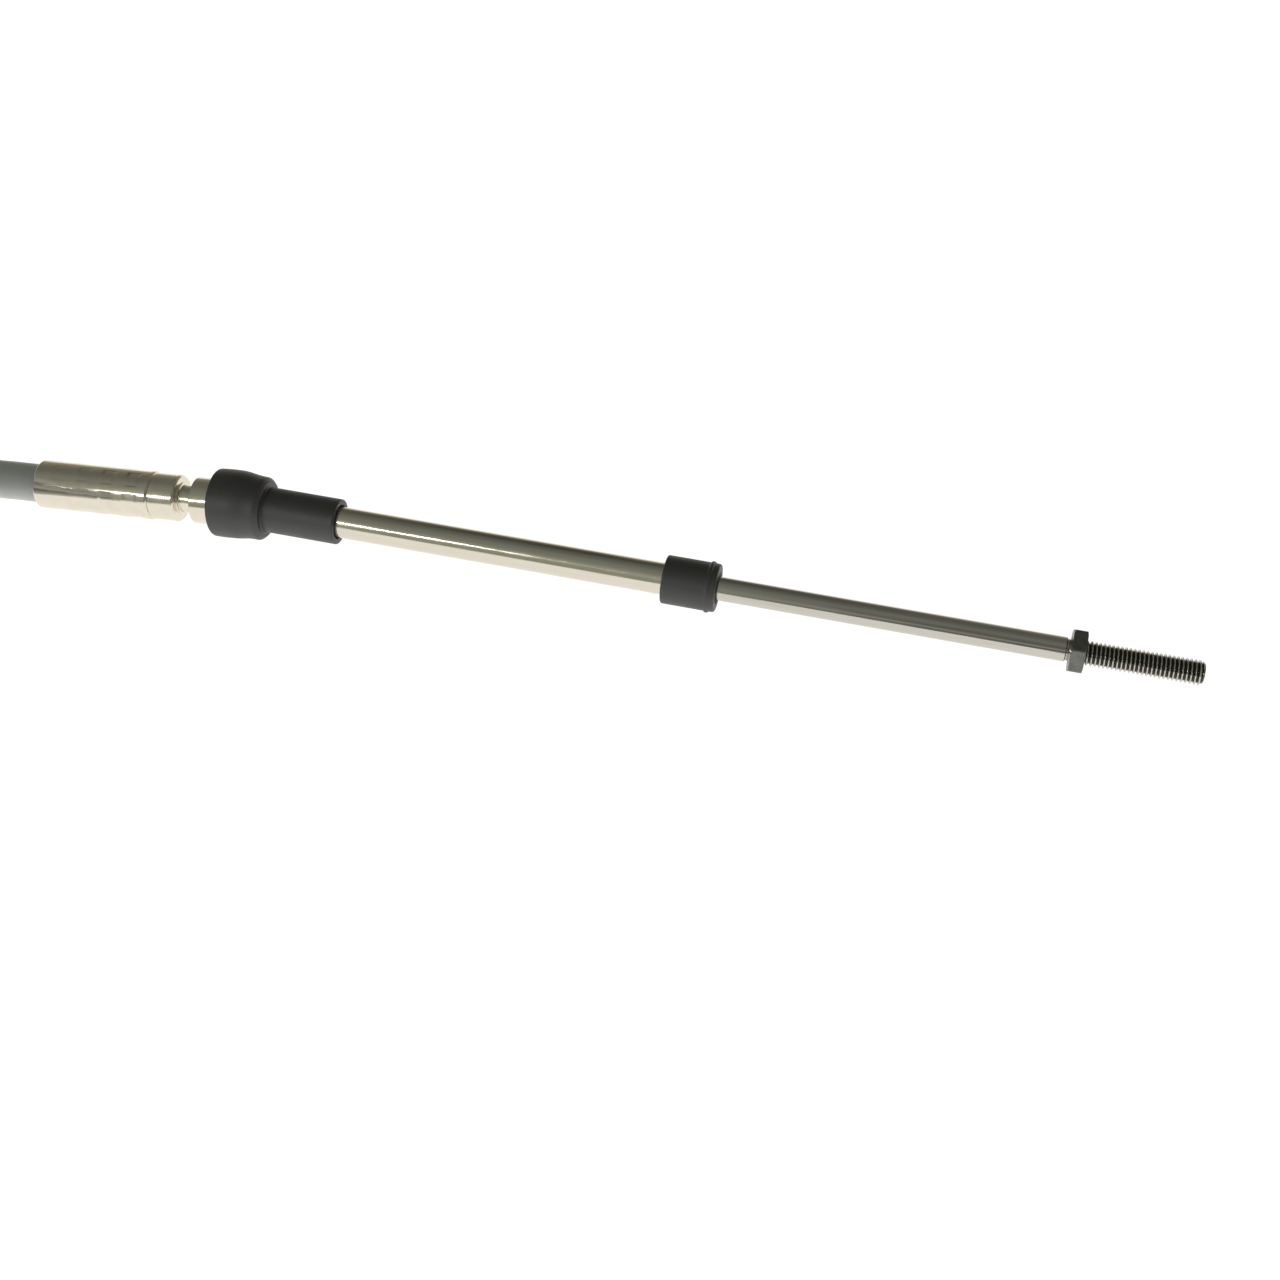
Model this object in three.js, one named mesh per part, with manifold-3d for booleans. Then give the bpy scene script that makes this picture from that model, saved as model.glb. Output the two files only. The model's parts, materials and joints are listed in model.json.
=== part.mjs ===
// Push-pull control cable for a boat, lying on a level floor.
// Each end has a crimped hub, a rubber boot over a ball swivel, a support tube with a wiper seal
// and a push rod with a threaded tip and a jam nut. The near end lies along +X. The rest of the
// conduit is wound into a hank behind it, with the far end on top. Millimetres, +Z up.
import * as THREE from "three";
import { mergeVertices } from "three/addons/utils/BufferGeometryUtils.js";
import Module from "manifold-3d";

// Clearances
const SEAT_GAP = 0.3; // between pieces that touch or grip each other
const SLIDE_GAP = 0.25; // push rod in the bore of the support tube
const TURN_GAP = 0.16; // between neighbouring turns of the hank

// Conduit and hank
const CONDUIT_D = 7.94;
const HANK_RUN = 138.6; // straight part of each turn
const HANK_BEND_R = 30; // middle of the innermost turn
const HANK_COLUMNS = 2;
const HANK_LAYERS = 2;
const LEAD_REACH = 40; // from the near hub to the start of the hank's bend
const LEAD_SIDE = 2.6; // how far the lead drifts to the side on the way
const TAIL_REACH = 4; // from the end of the hank's bend to the far hub
const TAIL_RISE_SHARE = 0.5; // of the last bend, over which the conduit climbs to the far hub
const TIE_THICKNESS = 1.2;
const TIE_WIDTH = 4.8;
const TIE_HEAD = 6.6;
const TIE_HEAD_HEIGHT = 4.4;

// Hub, from its conduit end to its swivel end
const HUB_D = 10;
const HUB_END_CHAMFER = 0.7;
const CRIMP_LENGTH = 25.1;
const SCORE_WIDTH = 0.4; // fine turned line between the crimped and the plain length
const SCORE_DEPTH = 0.25;
const PLAIN_LENGTH = 5.4;
const PLAIN_D = 9.6;
const PLAIN_CHAMFER = 0.4;
const NECK_LENGTH = 3.4; // groove that a clamp holds
const NECK_D = 5.7;
const COLLAR_D = 9.5;
const COLLAR_LENGTH = 5.7;
const HOUSING_WALL = 0.9; // round the swivel ball
const HOUSING_BACK = 3.4; // from the collar to the centre of the ball
const CONDUIT_SOCKET_DEPTH = 20;
const CORE_PASSAGE_D = 3.2;

// Swivel
const BALL_D = 8;
const LIP_START = 2; // from the centre of the ball to the edge that holds it in
const LIP_LENGTH = 0.6;
const HUB_YAW = 1.6; // degrees, how the photographed end lies

// Boot
const BOOT_RIM_D = 14;
const BOOT_SHOULDER_D = 12.6;
const BOOT_SLEEVE_D = 9.2;
const BOOT_BELL_LENGTH = 10.9;
const BOOT_SLEEVE_LENGTH = 15.4;
const BOOT_RIM_BACK = 4.6; // from the rim to the centre of the ball
const BOOT_RIM_CHAMFER = 0.4;
const BOOT_RIM_GRIP = 1; // length of the rim's inner lip
const BOOT_SHOULDER_ROUND = 0.7;
const BOOT_CAVITY_GAP = 0.65; // room for the hub to tilt inside the bell

// Support tube and wiper seal
const TUBE_D = 6.35;
const WIPER_D = 9.6;
const WIPER_LENGTH = 10.66;
const WIPER_SEAT = 7; // length of the wiper on the tube
const WIPER_BEAD_HEIGHT = 0.3;
const WIPER_BEAD_WIDTH = 1;
const WIPER_BEAD_INSET = 1.6; // from the middle of the bead to the end
const WIPER_CHAMFER = 0.4;

// Push rod, thread and nut
const ROD_D = 4.76;
const TRAVEL = 76.2;
const NEAR_EXTENSION = 66; // of the near rod, out of its innermost place
const BEARING_LENGTH = 13.8; // of the rod inside the tube when fully out
const ROD_END_ROOM = 6; // from the centre of the ball to the rod when fully in
const RETRACTED_GAP = 1.1; // from the wiper to the thread when fully in
const SHOULDER_CHAMFER = 0.6;
const THREAD_D = 4.82;
const THREAD_LENGTH = 25.4;
const TIP_CHAMFER = 0.5;
const NUT_FLATS = 7.94;
const NUT_THICKNESS = 2.7;
const NUT_STANDOFF = 0.75; // from the start of the thread
const NUT_CORNER_CUT = 0.35;
const NUT_TURN = 17.4; // degrees from a corner pointing sideways

// Fineness of the round surfaces
const ROUND_SEGMENTS = 24;
const BALL_STEPS = 8;
const BEND_SEGMENTS = 16;
const HANK_EDGE_STEPS = 3;
const CONDUIT_SIDES = 12;
const CONDUIT_STEP = 16;

const wasm = await Module();
wasm.setup();

const FINISHES = {
  plated: { color: 0xb9b8a8, roughness: 0.28, metalness: 1 },
  stainless: { color: 0xbdbdb2, roughness: 0.22, metalness: 1 },
  darkSteel: { color: 0x6c6d6c, roughness: 0.42, metalness: 1 },
  rubber: { color: 0x2e2f33, roughness: 0.6, metalness: 0 },
  jacket: { color: 0x767a7d, roughness: 0.5, metalness: 0 },
  nylon: { color: 0x1c1d1f, roughness: 0.5, metalness: 0 },
};

function piece(name, geometry, finish) {
  const mesh = new THREE.Mesh(geometry, new THREE.MeshStandardMaterial(FINISHES[finish]));
  mesh.name = name;
  return mesh;
}

// A closed outline of [along, radius] points, turned about the X axis. It runs along the outside
// towards +X and back along the bore, or starts and ends on the axis.
function turned(outline) {
  const points = outline.map(([along, radius]) => new THREE.Vector2(radius, along));
  if (outline[0][1] > 0) points.push(points[0].clone());
  const geometry = new THREE.LatheGeometry(points, ROUND_SEGMENTS);
  geometry.rotateZ(-Math.PI / 2);
  return geometry;
}

// Points of a sphere's outline between two places along X.
function sphereArc(radius, from, to) {
  const start = Math.acos(from / radius);
  const end = Math.acos(to / radius);
  const arc = [];
  for (let i = 0; i <= BALL_STEPS; i++) {
    const angle = start + ((end - start) * i) / BALL_STEPS;
    arc.push([radius * Math.cos(angle), radius * Math.sin(angle)]);
  }
  return arc;
}

function toSolid(geometry) {
  const loose = geometry.index ? geometry.toNonIndexed() : geometry;
  const bare = new THREE.BufferGeometry();
  bare.setAttribute("position", loose.getAttribute("position").clone());
  const merged = mergeVertices(bare, 1e-4);
  const vertProperties = new Float32Array(merged.attributes.position.array);
  const triVerts = new Uint32Array(merged.index.array);
  return new wasm.Manifold(new wasm.Mesh({ numProp: 3, vertProperties, triVerts }));
}

function toGeometry(solid) {
  const mesh = solid.getMesh();
  const geometry = new THREE.BufferGeometry();
  geometry.setAttribute("position", new THREE.BufferAttribute(mesh.vertProperties, 3));
  geometry.setIndex(new THREE.BufferAttribute(mesh.triVerts, 1));
  geometry.computeVertexNormals();
  return geometry;
}

// Places along the hub, measured from the centre of the ball.
const HOUSING_R = BALL_D / 2 + SEAT_GAP + HOUSING_WALL;
const HUB_LENGTH_TO_BALL =
  CRIMP_LENGTH + SCORE_WIDTH + PLAIN_LENGTH + NECK_LENGTH + COLLAR_LENGTH + HOUSING_BACK;

function hubGeometry() {
  const outer = HUB_D / 2;
  const plain = PLAIN_D / 2;
  const collar = COLLAR_D / 2;
  const start = -HUB_LENGTH_TO_BALL;
  const crimpEnd = start + CRIMP_LENGTH;
  const plainStart = crimpEnd + SCORE_WIDTH;
  const plainEnd = plainStart + PLAIN_LENGTH;
  const neckEnd = plainEnd + NECK_LENGTH;
  const collarEnd = neckEnd + COLLAR_LENGTH;
  const lipEnd = LIP_START + LIP_LENGTH;
  const socketR = CONDUIT_D / 2 + SEAT_GAP;
  const passageR = CORE_PASSAGE_D / 2;
  const ballSocketR = BALL_D / 2 + SEAT_GAP;
  const ballSocketBack = -Math.sqrt(ballSocketR ** 2 - passageR ** 2);
  const lipR = Math.sqrt(ballSocketR ** 2 - LIP_START ** 2);
  return turned([
    [start, outer - HUB_END_CHAMFER],
    [start + HUB_END_CHAMFER, outer],
    [crimpEnd, outer],
    [crimpEnd, outer - SCORE_DEPTH],
    [plainStart, outer - SCORE_DEPTH],
    [plainStart, plain],
    [plainEnd - PLAIN_CHAMFER, plain],
    [plainEnd, plain - PLAIN_CHAMFER],
    [plainEnd, NECK_D / 2],
    [neckEnd, NECK_D / 2],
    [neckEnd, collar],
    [collarEnd, collar],
    [collarEnd, HOUSING_R],
    [lipEnd, HOUSING_R],
    [lipEnd, lipR],
    ...sphereArc(ballSocketR, LIP_START, ballSocketBack),
    [start + CONDUIT_SOCKET_DEPTH, passageR],
    [start + CONDUIT_SOCKET_DEPTH, socketR],
    [start, socketR],
  ]);
}

// Places along the boot, measured from the centre of the ball.
const BOOT_SHOULDER_AT = BOOT_BELL_LENGTH - BOOT_RIM_BACK;

function bootGeometry() {
  const rim = BOOT_RIM_D / 2;
  const shoulder = BOOT_SHOULDER_D / 2;
  const sleeve = BOOT_SLEEVE_D / 2;
  const cavity = HOUSING_R + BOOT_CAVITY_GAP;
  const rimBore = COLLAR_D / 2 + BOOT_CAVITY_GAP;
  const bore = TUBE_D / 2 + SEAT_GAP;
  const start = -BOOT_RIM_BACK;
  const wall = sleeve - bore;
  const cavityEnd = BOOT_SHOULDER_AT - 2 * wall;
  return turned([
    [start, rim - BOOT_RIM_CHAMFER],
    [start + BOOT_RIM_CHAMFER, rim],
    [BOOT_SHOULDER_AT - BOOT_SHOULDER_ROUND, shoulder],
    [BOOT_SHOULDER_AT, shoulder - BOOT_SHOULDER_ROUND],
    [BOOT_SHOULDER_AT, sleeve],
    [BOOT_SHOULDER_AT + BOOT_SLEEVE_LENGTH, sleeve],
    [BOOT_SHOULDER_AT + BOOT_SLEEVE_LENGTH, bore],
    [cavityEnd + wall, bore],
    [cavityEnd, cavity],
    [start + BOOT_RIM_GRIP, cavity],
    [start + BOOT_RIM_GRIP, rimBore],
    [start, rimBore],
  ]);
}

// Places along the tube and the rod, measured from the centre of the ball.
const TUBE_END = ROD_END_ROOM + TRAVEL + BEARING_LENGTH;
const WIPER_START = TUBE_END - WIPER_SEAT;
const WIPER_END = WIPER_START + WIPER_LENGTH;
const ROD_LENGTH = WIPER_END + RETRACTED_GAP - ROD_END_ROOM;

function tubeGeometry() {
  const outer = TUBE_D / 2;
  const bore = ROD_D / 2 + SLIDE_GAP;
  const ball = BALL_D / 2;
  const ballStart = -Math.sqrt(ball ** 2 - bore ** 2);
  const ballEnd = Math.sqrt(ball ** 2 - outer ** 2);
  return turned([
    ...sphereArc(ball, ballStart, ballEnd),
    [TUBE_END, outer],
    [TUBE_END, bore],
  ]);
}

function wiperGeometry() {
  const outer = WIPER_D / 2;
  const bead = outer + WIPER_BEAD_HEIGHT;
  const beadMiddle = WIPER_END - WIPER_BEAD_INSET;
  const seat = TUBE_D / 2 + SEAT_GAP;
  const lip = ROD_D / 2 + SEAT_GAP;
  return turned([
    [WIPER_START, outer - WIPER_CHAMFER],
    [WIPER_START + WIPER_CHAMFER, outer],
    [beadMiddle - WIPER_BEAD_WIDTH / 2, outer],
    [beadMiddle - WIPER_BEAD_WIDTH / 4, bead],
    [beadMiddle + WIPER_BEAD_WIDTH / 4, bead],
    [beadMiddle + WIPER_BEAD_WIDTH / 2, outer],
    [WIPER_END - WIPER_CHAMFER, outer],
    [WIPER_END, outer - WIPER_CHAMFER],
    [WIPER_END, lip],
    [TUBE_END + SEAT_GAP, lip],
    [TUBE_END + SEAT_GAP, seat],
    [WIPER_START, seat],
  ]);
}

// The rod's zero is the start of its thread.
function rodGeometry() {
  const rod = ROD_D / 2;
  const thread = THREAD_D / 2;
  return turned([
    [-ROD_LENGTH, 0],
    [-ROD_LENGTH, rod - SHOULDER_CHAMFER],
    [-ROD_LENGTH + SHOULDER_CHAMFER, rod],
    [-SHOULDER_CHAMFER, rod],
    [-SHOULDER_CHAMFER / 2, rod - SHOULDER_CHAMFER / 2],
    [0, thread - SHOULDER_CHAMFER / 2],
    [SHOULDER_CHAMFER / 2, thread],
    [THREAD_LENGTH - TIP_CHAMFER, thread],
    [THREAD_LENGTH, thread - TIP_CHAMFER],
    [THREAD_LENGTH, 0],
  ]);
}

const NUT_CORNER_R = NUT_FLATS / 2 / Math.cos(Math.PI / 6);
const NUT_CHAMFER_LENGTH = NUT_CORNER_CUT * Math.tan(Math.PI / 6);

// A hexagon with coned corners and a bore, standing from 0 to its thickness along X.
function nutGeometry() {
  const corners = [];
  for (let i = 0; i < 6; i++) {
    const angle = (i * Math.PI) / 3;
    const y = NUT_CORNER_R * Math.cos(angle);
    const z = NUT_CORNER_R * Math.sin(angle);
    corners.push(new THREE.Vector2(-z, y));
  }
  const hexagon = new THREE.Shape(corners);
  const prism = new THREE.ExtrudeGeometry(hexagon, { depth: NUT_THICKNESS, bevelEnabled: false });
  prism.rotateY(Math.PI / 2);
  prism.rotateX(THREE.MathUtils.degToRad(NUT_TURN));
  const faceR = NUT_CORNER_R - NUT_CORNER_CUT;
  const bore = THREAD_D / 2 + SEAT_GAP;
  const blank = turned([
    [0, faceR],
    [NUT_CHAMFER_LENGTH, NUT_CORNER_R],
    [NUT_THICKNESS - NUT_CHAMFER_LENGTH, NUT_CORNER_R],
    [NUT_THICKNESS, faceR],
    [NUT_THICKNESS, bore],
    [0, bore],
  ]);
  return toGeometry(toSolid(prism).intersect(toSolid(blank)));
}

// Radius at which the nut touches a floor below it.
const cornersOff = THREE.MathUtils.degToRad(((90 - NUT_TURN + 30) % 60) - 30);
const NUT_FLOOR_R = NUT_CORNER_R * Math.cos(cornersOff);

// How one end lies: the boot's rim and one more ring of the tube's side touch the floor below it,
// and so does the conduit end of the hub. Angles in radians, falling away from the ball.
function lie(ringAt, ringR) {
  const rimR = BOOT_RIM_D / 2;
  const rimBack = BOOT_RIM_BACK - BOOT_RIM_CHAMFER;
  const tubeFall = Math.atan2(rimR - ringR, rimBack + ringAt);
  const ballHeight = rimR * Math.cos(tubeFall) - rimBack * Math.sin(tubeFall);
  const hubBack = HUB_LENGTH_TO_BALL - HUB_END_CHAMFER;
  const hubR = HUB_D / 2;
  const hubFall = Math.asin(ballHeight / Math.hypot(hubBack, hubR)) - Math.atan2(hubR, hubBack);
  return { tubeFall, ballHeight, hubFall };
}

// Where the middle of the hub's conduit end is, seen from the floor point below the ball, and the
// direction in which the conduit leaves it.
function hubExit(pose, yaw) {
  const turn = new THREE.Euler(0, -pose.hubFall, yaw, "ZYX");
  const away = new THREE.Vector3(-1, 0, 0).applyEuler(turn);
  const at = new THREE.Vector3(0, 0, pose.ballHeight).addScaledVector(away, HUB_LENGTH_TO_BALL);
  return { at, away, turn };
}

function fitting(prefix, pose, exit, extension) {
  const end = new THREE.Group();
  const hub = piece(prefix + "_hub", hubGeometry(), "plated");
  hub.position.z = pose.ballHeight;
  hub.rotation.copy(exit.turn);
  const tubeLine = new THREE.Group();
  tubeLine.position.z = pose.ballHeight;
  tubeLine.rotation.y = pose.tubeFall;
  const rodLine = new THREE.Group();
  rodLine.position.x = WIPER_END + RETRACTED_GAP + extension;
  rodLine.add(piece(prefix + "_rod", rodGeometry(), "stainless"));
  const nut = piece(prefix + "_jam_nut", nutGeometry(), "darkSteel");
  nut.position.x = NUT_STANDOFF;
  rodLine.add(nut);
  tubeLine.add(piece(prefix + "_boot", bootGeometry(), "rubber"));
  tubeLine.add(piece(prefix + "_tube", tubeGeometry(), "stainless"));
  tubeLine.add(piece(prefix + "_wiper_seal", wiperGeometry(), "rubber"));
  tubeLine.add(rodLine);
  end.add(hub, tubeLine);
  return end;
}

// The near end touches the floor with its boot, its nut and the end of its hub.
const nearRodAt = WIPER_END + RETRACTED_GAP + NEAR_EXTENSION;
const nutEdgeAt = nearRodAt + NUT_STANDOFF + NUT_THICKNESS - NUT_CHAMFER_LENGTH;
const nearPose = lie(nutEdgeAt, NUT_FLOOR_R);
const nearExit = hubExit(nearPose, THREE.MathUtils.degToRad(HUB_YAW));
const nearEnd = fitting("near", nearPose, nearExit, NEAR_EXTENSION);

// The hank: its turns lie in columns side by side and in layers, on the ties.
const conduitR = CONDUIT_D / 2;
const turnPitch = CONDUIT_D + TURN_GAP;
const outerTurnR = HANK_BEND_R + (HANK_COLUMNS - 1) * turnPitch;
const hankBottom = TIE_THICKNESS + SEAT_GAP;
const hankHeight = (HANK_LAYERS - 1) * turnPitch + CONDUIT_D;
const hankTop = hankBottom + hankHeight;
const lowLayerZ = hankBottom + conduitR;
const topLayerZ = hankTop - conduitR;
const outerRunY = nearExit.at.y - LEAD_SIDE;
const hankY = outerRunY - outerTurnR;
const bendX = nearExit.at.x - LEAD_REACH;
const farBendX = bendX - HANK_RUN;

function stadium(radius, PathType) {
  const outline = new PathType();
  outline.absarc(bendX, hankY, radius, -Math.PI / 2, Math.PI / 2, false);
  outline.absarc(farBendX, hankY, radius, Math.PI / 2, (3 * Math.PI) / 2, false);
  outline.closePath();
  return outline;
}

// The outer shape of all the turns, with its edges rounded as the outermost turns are.
function hankGeometry(grow) {
  const shape = stadium(outerTurnR + conduitR + grow, THREE.Shape);
  shape.holes.push(stadium(HANK_BEND_R - conduitR - grow, THREE.Path));
  const edgeR = conduitR + grow;
  const geometry = new THREE.ExtrudeGeometry(shape, {
    depth: hankHeight + 2 * (grow - edgeR),
    curveSegments: BEND_SEGMENTS,
    bevelThickness: edgeR,
    bevelSize: edgeR,
    bevelOffset: -edgeR,
    bevelSegments: HANK_EDGE_STEPS,
  });
  geometry.translate(0, 0, hankBottom - grow + edgeR);
  return geometry;
}

// The conduit's own tube along a route, less what the hank's solid takes up.
function conduitGeometry(points) {
  const route = new THREE.CatmullRomCurve3(points, false, "centripetal");
  const section = new THREE.Shape();
  section.absarc(0, 0, conduitR, 0, 2 * Math.PI, false);
  const steps = Math.ceil(route.getLength() / CONDUIT_STEP) * 2;
  const tube = new THREE.ExtrudeGeometry(section, {
    steps,
    curveSegments: CONDUIT_SIDES,
    extrudePath: route,
  });
  return toGeometry(toSolid(tube).subtract(toSolid(hankGeometry(SEAT_GAP))));
}

const socketReach = CONDUIT_SOCKET_DEPTH - SEAT_GAP;

function along(exit, distance) {
  return exit.at.clone().addScaledVector(exit.away, distance);
}

// From inside the near hub, sagging slightly and drifting to the side, to the hank's low layer.
const leadPoints = [
  along(nearExit, -socketReach),
  along(nearExit, -socketReach / 2),
  along(nearExit, 0),
  along(nearExit, LEAD_REACH * 0.2),
  new THREE.Vector3(bendX + LEAD_REACH * 0.5, outerRunY + LEAD_SIDE * 0.32, lowLayerZ - 0.6),
  new THREE.Vector3(bendX + LEAD_REACH * 0.22, outerRunY + LEAD_SIDE * 0.06, lowLayerZ - 0.15),
  new THREE.Vector3(bendX, outerRunY, lowLayerZ),
  new THREE.Vector3(bendX - conduitR, outerRunY, lowLayerZ),
];

// The far end lies on the hank's top layer. It rests on its boot and its wiper seal.
const beadAt = WIPER_END - WIPER_BEAD_INSET;
const farPose = lie(beadAt, WIPER_D / 2 + WIPER_BEAD_HEIGHT);
const farExit = hubExit(farPose, 0);
const farEnd = fitting("far", farPose, farExit, TRAVEL - NEAR_EXTENSION);
const farFloor = hankTop + SEAT_GAP;
farEnd.rotation.z = Math.PI;
farEnd.position.set(bendX - TAIL_REACH + farExit.at.x, outerRunY, farFloor);
farEnd.updateMatrixWorld();
farExit.at.applyMatrix4(farEnd.matrixWorld);
farExit.away.transformDirection(farEnd.matrixWorld);

// From the hank's top layer, up round its bend, into the far hub.
const tailPoints = [];
const TAIL_STEPS = 12;
const TAIL_FIRST = 3; // where it stands clear of the turns below
for (let i = TAIL_FIRST; i <= TAIL_STEPS; i++) {
  const share = i / TAIL_STEPS;
  const angle = (share - 0.5) * Math.PI;
  const rise = THREE.MathUtils.smoothstep(share, 0, TAIL_RISE_SHARE);
  const x = bendX + outerTurnR * Math.cos(angle);
  const y = hankY + outerTurnR * Math.sin(angle);
  tailPoints.push(new THREE.Vector3(x, y, THREE.MathUtils.lerp(topLayerZ, farExit.at.z, rise)));
}
tailPoints.push(along(farExit, 0));
tailPoints.push(along(farExit, -socketReach / 2));
tailPoints.push(along(farExit, -socketReach));

// A tie is a band round a bundle, with its head on the outside. The bundle is a list of circles
// [y, z, radius], and the band follows their common hull.
function hull(circles, grow) {
  const cloud = [];
  for (const [y, z, radius] of circles)
    for (let i = 0; i < ROUND_SEGMENTS; i++) {
      const angle = (2 * Math.PI * i) / ROUND_SEGMENTS;
      const reach = radius + grow;
      cloud.push(new THREE.Vector2(y + reach * Math.cos(angle), z + reach * Math.sin(angle)));
    }
  cloud.sort((a, b) => a.x - b.x || a.y - b.y);
  const side = (points) => {
    const kept = [];
    for (const p of points) {
      while (kept.length > 1) {
        const [a, b] = kept.slice(-2);
        if ((b.x - a.x) * (p.y - a.y) - (b.y - a.y) * (p.x - a.x) > 1e-6) break;
        kept.pop();
      }
      kept.push(p);
    }
    return kept.slice(0, -1);
  };
  return [...side(cloud), ...side(cloud.slice().reverse())];
}

function tieGeometry(circles, middleX, headY, headZ) {
  const flat = (points) => points.map((p) => new THREE.Vector2(-p.y, p.x));
  const band = new THREE.Shape(flat(hull(circles, SEAT_GAP + TIE_THICKNESS)));
  band.holes.push(new THREE.Path(flat(hull(circles, SEAT_GAP))));
  const loop = new THREE.ExtrudeGeometry(band, { depth: TIE_WIDTH, bevelEnabled: false });
  loop.rotateY(Math.PI / 2);
  loop.translate(middleX - TIE_WIDTH / 2, 0, 0);
  const head = new THREE.BoxGeometry(TIE_HEAD, TIE_HEAD_HEIGHT, TIE_HEAD);
  head.translate(middleX, headY, headZ);
  return toGeometry(toSolid(loop).add(toSolid(head)));
}

// One strand for each place in the hank's square stack, at one side of it.
function strands(y, inward) {
  const circles = [];
  for (let column = 0; column < HANK_COLUMNS; column++)
    for (let layer = 0; layer < HANK_LAYERS; layer++)
      circles.push([y + inward * column * turnPitch, lowLayerZ + layer * turnPitch, conduitR]);
  return circles;
}

const headOut = conduitR + SEAT_GAP + TIE_HEAD_HEIGHT / 2;
const innerRunY = hankY - outerTurnR;
const midLayerZ = (lowLayerZ + topLayerZ) / 2;
const runTieX = bendX - HANK_RUN / 2;
const runTie = tieGeometry(strands(innerRunY, 1), runTieX, innerRunY - headOut, midLayerZ);

// The second tie goes round the run below the far hub, and round the hub's crimped length.
const fittingTieX = farExit.at.x - CRIMP_LENGTH / 2;
const hubAtTie = farExit.at.z - farExit.away.z * (CRIMP_LENGTH / 2);
const tiedHub = [outerRunY, hubAtTie, HUB_D / 2];
const fittingCircles = [...strands(outerRunY, -1), tiedHub];
const fittingTie = tieGeometry(fittingCircles, fittingTieX, outerRunY + headOut, midLayerZ);

const layout = new THREE.Group();
layout.add(nearEnd, farEnd);
layout.add(piece("conduit_lead", conduitGeometry(leadPoints), "jacket"));
layout.add(piece("conduit_coil", hankGeometry(0), "jacket"));
layout.add(piece("conduit_tail", conduitGeometry(tailPoints), "jacket"));
layout.add(piece("tie_run", runTie, "nylon"));
layout.add(piece("tie_fitting", fittingTie, "nylon"));

// The origin is on the floor, below the middle of the near end.
nearEnd.updateMatrixWorld(true);
const nearBox = new THREE.Box3().setFromObject(nearEnd, true);
layout.position.x = -(nearBox.min.x + nearBox.max.x) / 2;
layout.position.y = -(nearBox.min.y + nearBox.max.y) / 2;
layout.position.z = -nearBox.min.z;

const cable = new THREE.Group();
cable.add(layout);

export default cable;
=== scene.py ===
import json
import math
import bmesh
import bpy
from mathutils import Matrix, Quaternion, Vector


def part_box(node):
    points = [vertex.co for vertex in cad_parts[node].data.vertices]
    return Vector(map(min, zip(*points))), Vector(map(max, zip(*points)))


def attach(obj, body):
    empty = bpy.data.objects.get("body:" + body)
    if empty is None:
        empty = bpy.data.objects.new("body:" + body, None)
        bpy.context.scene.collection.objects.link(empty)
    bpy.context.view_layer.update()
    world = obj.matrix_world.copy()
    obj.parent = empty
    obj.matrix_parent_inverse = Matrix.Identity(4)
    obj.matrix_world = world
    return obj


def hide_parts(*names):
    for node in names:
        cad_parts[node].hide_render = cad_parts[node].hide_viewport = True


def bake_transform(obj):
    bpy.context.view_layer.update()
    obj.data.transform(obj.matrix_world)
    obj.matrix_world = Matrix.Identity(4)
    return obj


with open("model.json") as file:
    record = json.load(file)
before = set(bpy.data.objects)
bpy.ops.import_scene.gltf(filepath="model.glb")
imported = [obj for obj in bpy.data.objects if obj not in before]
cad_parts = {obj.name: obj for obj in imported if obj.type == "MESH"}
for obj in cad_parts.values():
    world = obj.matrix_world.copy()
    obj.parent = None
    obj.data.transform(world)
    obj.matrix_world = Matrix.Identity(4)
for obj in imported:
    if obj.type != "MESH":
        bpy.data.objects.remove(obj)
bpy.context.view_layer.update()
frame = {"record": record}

# Studio. The cable lies on a white table that is lit so strongly that it glows and throws no
# shadow. The room above is dim, and one long lamp stands low in front. The camera looks down
# from the front, a little from the right.
MM = 0.001
joints = {joint["name"]: joint for joint in frame["record"]["behaviour"]["joints"]}
mounts = {mount["name"]: mount for mount in frame["record"]["mounts"]}
near_pivot = Vector(joints["near_swivel"]["pos_m"])
near_line = Vector(mounts["near_tip"]["axis"])

CAMERA_TURN = math.radians(13.5)
CAMERA_TILT = math.radians(42.6)
CAMERA_ROLL = math.radians(0.45)
CAMERA_DISTANCE = 348.6 * MM
CAMERA_BELOW_AIM = 12.82 * MM
AIM_ALONG_TUBE = 84 * MM
LENS_MM = 50
SENSOR_MM = 36
NEAREST_SEEN = 0.01
forward = Vector((
    -math.sin(CAMERA_TURN) * math.cos(CAMERA_TILT),
    math.cos(CAMERA_TURN) * math.cos(CAMERA_TILT),
    -math.sin(CAMERA_TILT),
))
right = Vector((math.cos(CAMERA_TURN), math.sin(CAMERA_TURN), 0))
right.rotate(Quaternion(forward, -CAMERA_ROLL))
up = right.cross(forward)
aim = near_pivot + AIM_ALONG_TUBE * near_line
camera_data = bpy.data.cameras.new("camera")
camera_data.lens = LENS_MM
camera_data.sensor_width = SENSOR_MM
camera_data.clip_start = NEAREST_SEEN
camera = bpy.data.objects.new("camera", camera_data)
turn = Matrix((right, up, -forward)).transposed().to_4x4()
place = aim - CAMERA_DISTANCE * forward - CAMERA_BELOW_AIM * up
camera.matrix_world = Matrix.Translation(place) @ turn
bpy.context.scene.collection.objects.link(camera)
bpy.context.scene.camera = camera
bpy.context.scene.view_settings.view_transform = "Standard"


def add_node(tree, kind, inputs=None, **settings):
    """A shader node with its settings, and its inputs set to values or linked to outputs."""
    made = tree.nodes.new(kind)
    for key, value in settings.items():
        setattr(made, key, value)
    for key, value in (inputs or {}).items():
        if isinstance(value, bpy.types.NodeSocket):
            tree.links.new(value, made.inputs[key])
        else:
            made.inputs[key].default_value = value
    return made


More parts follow.
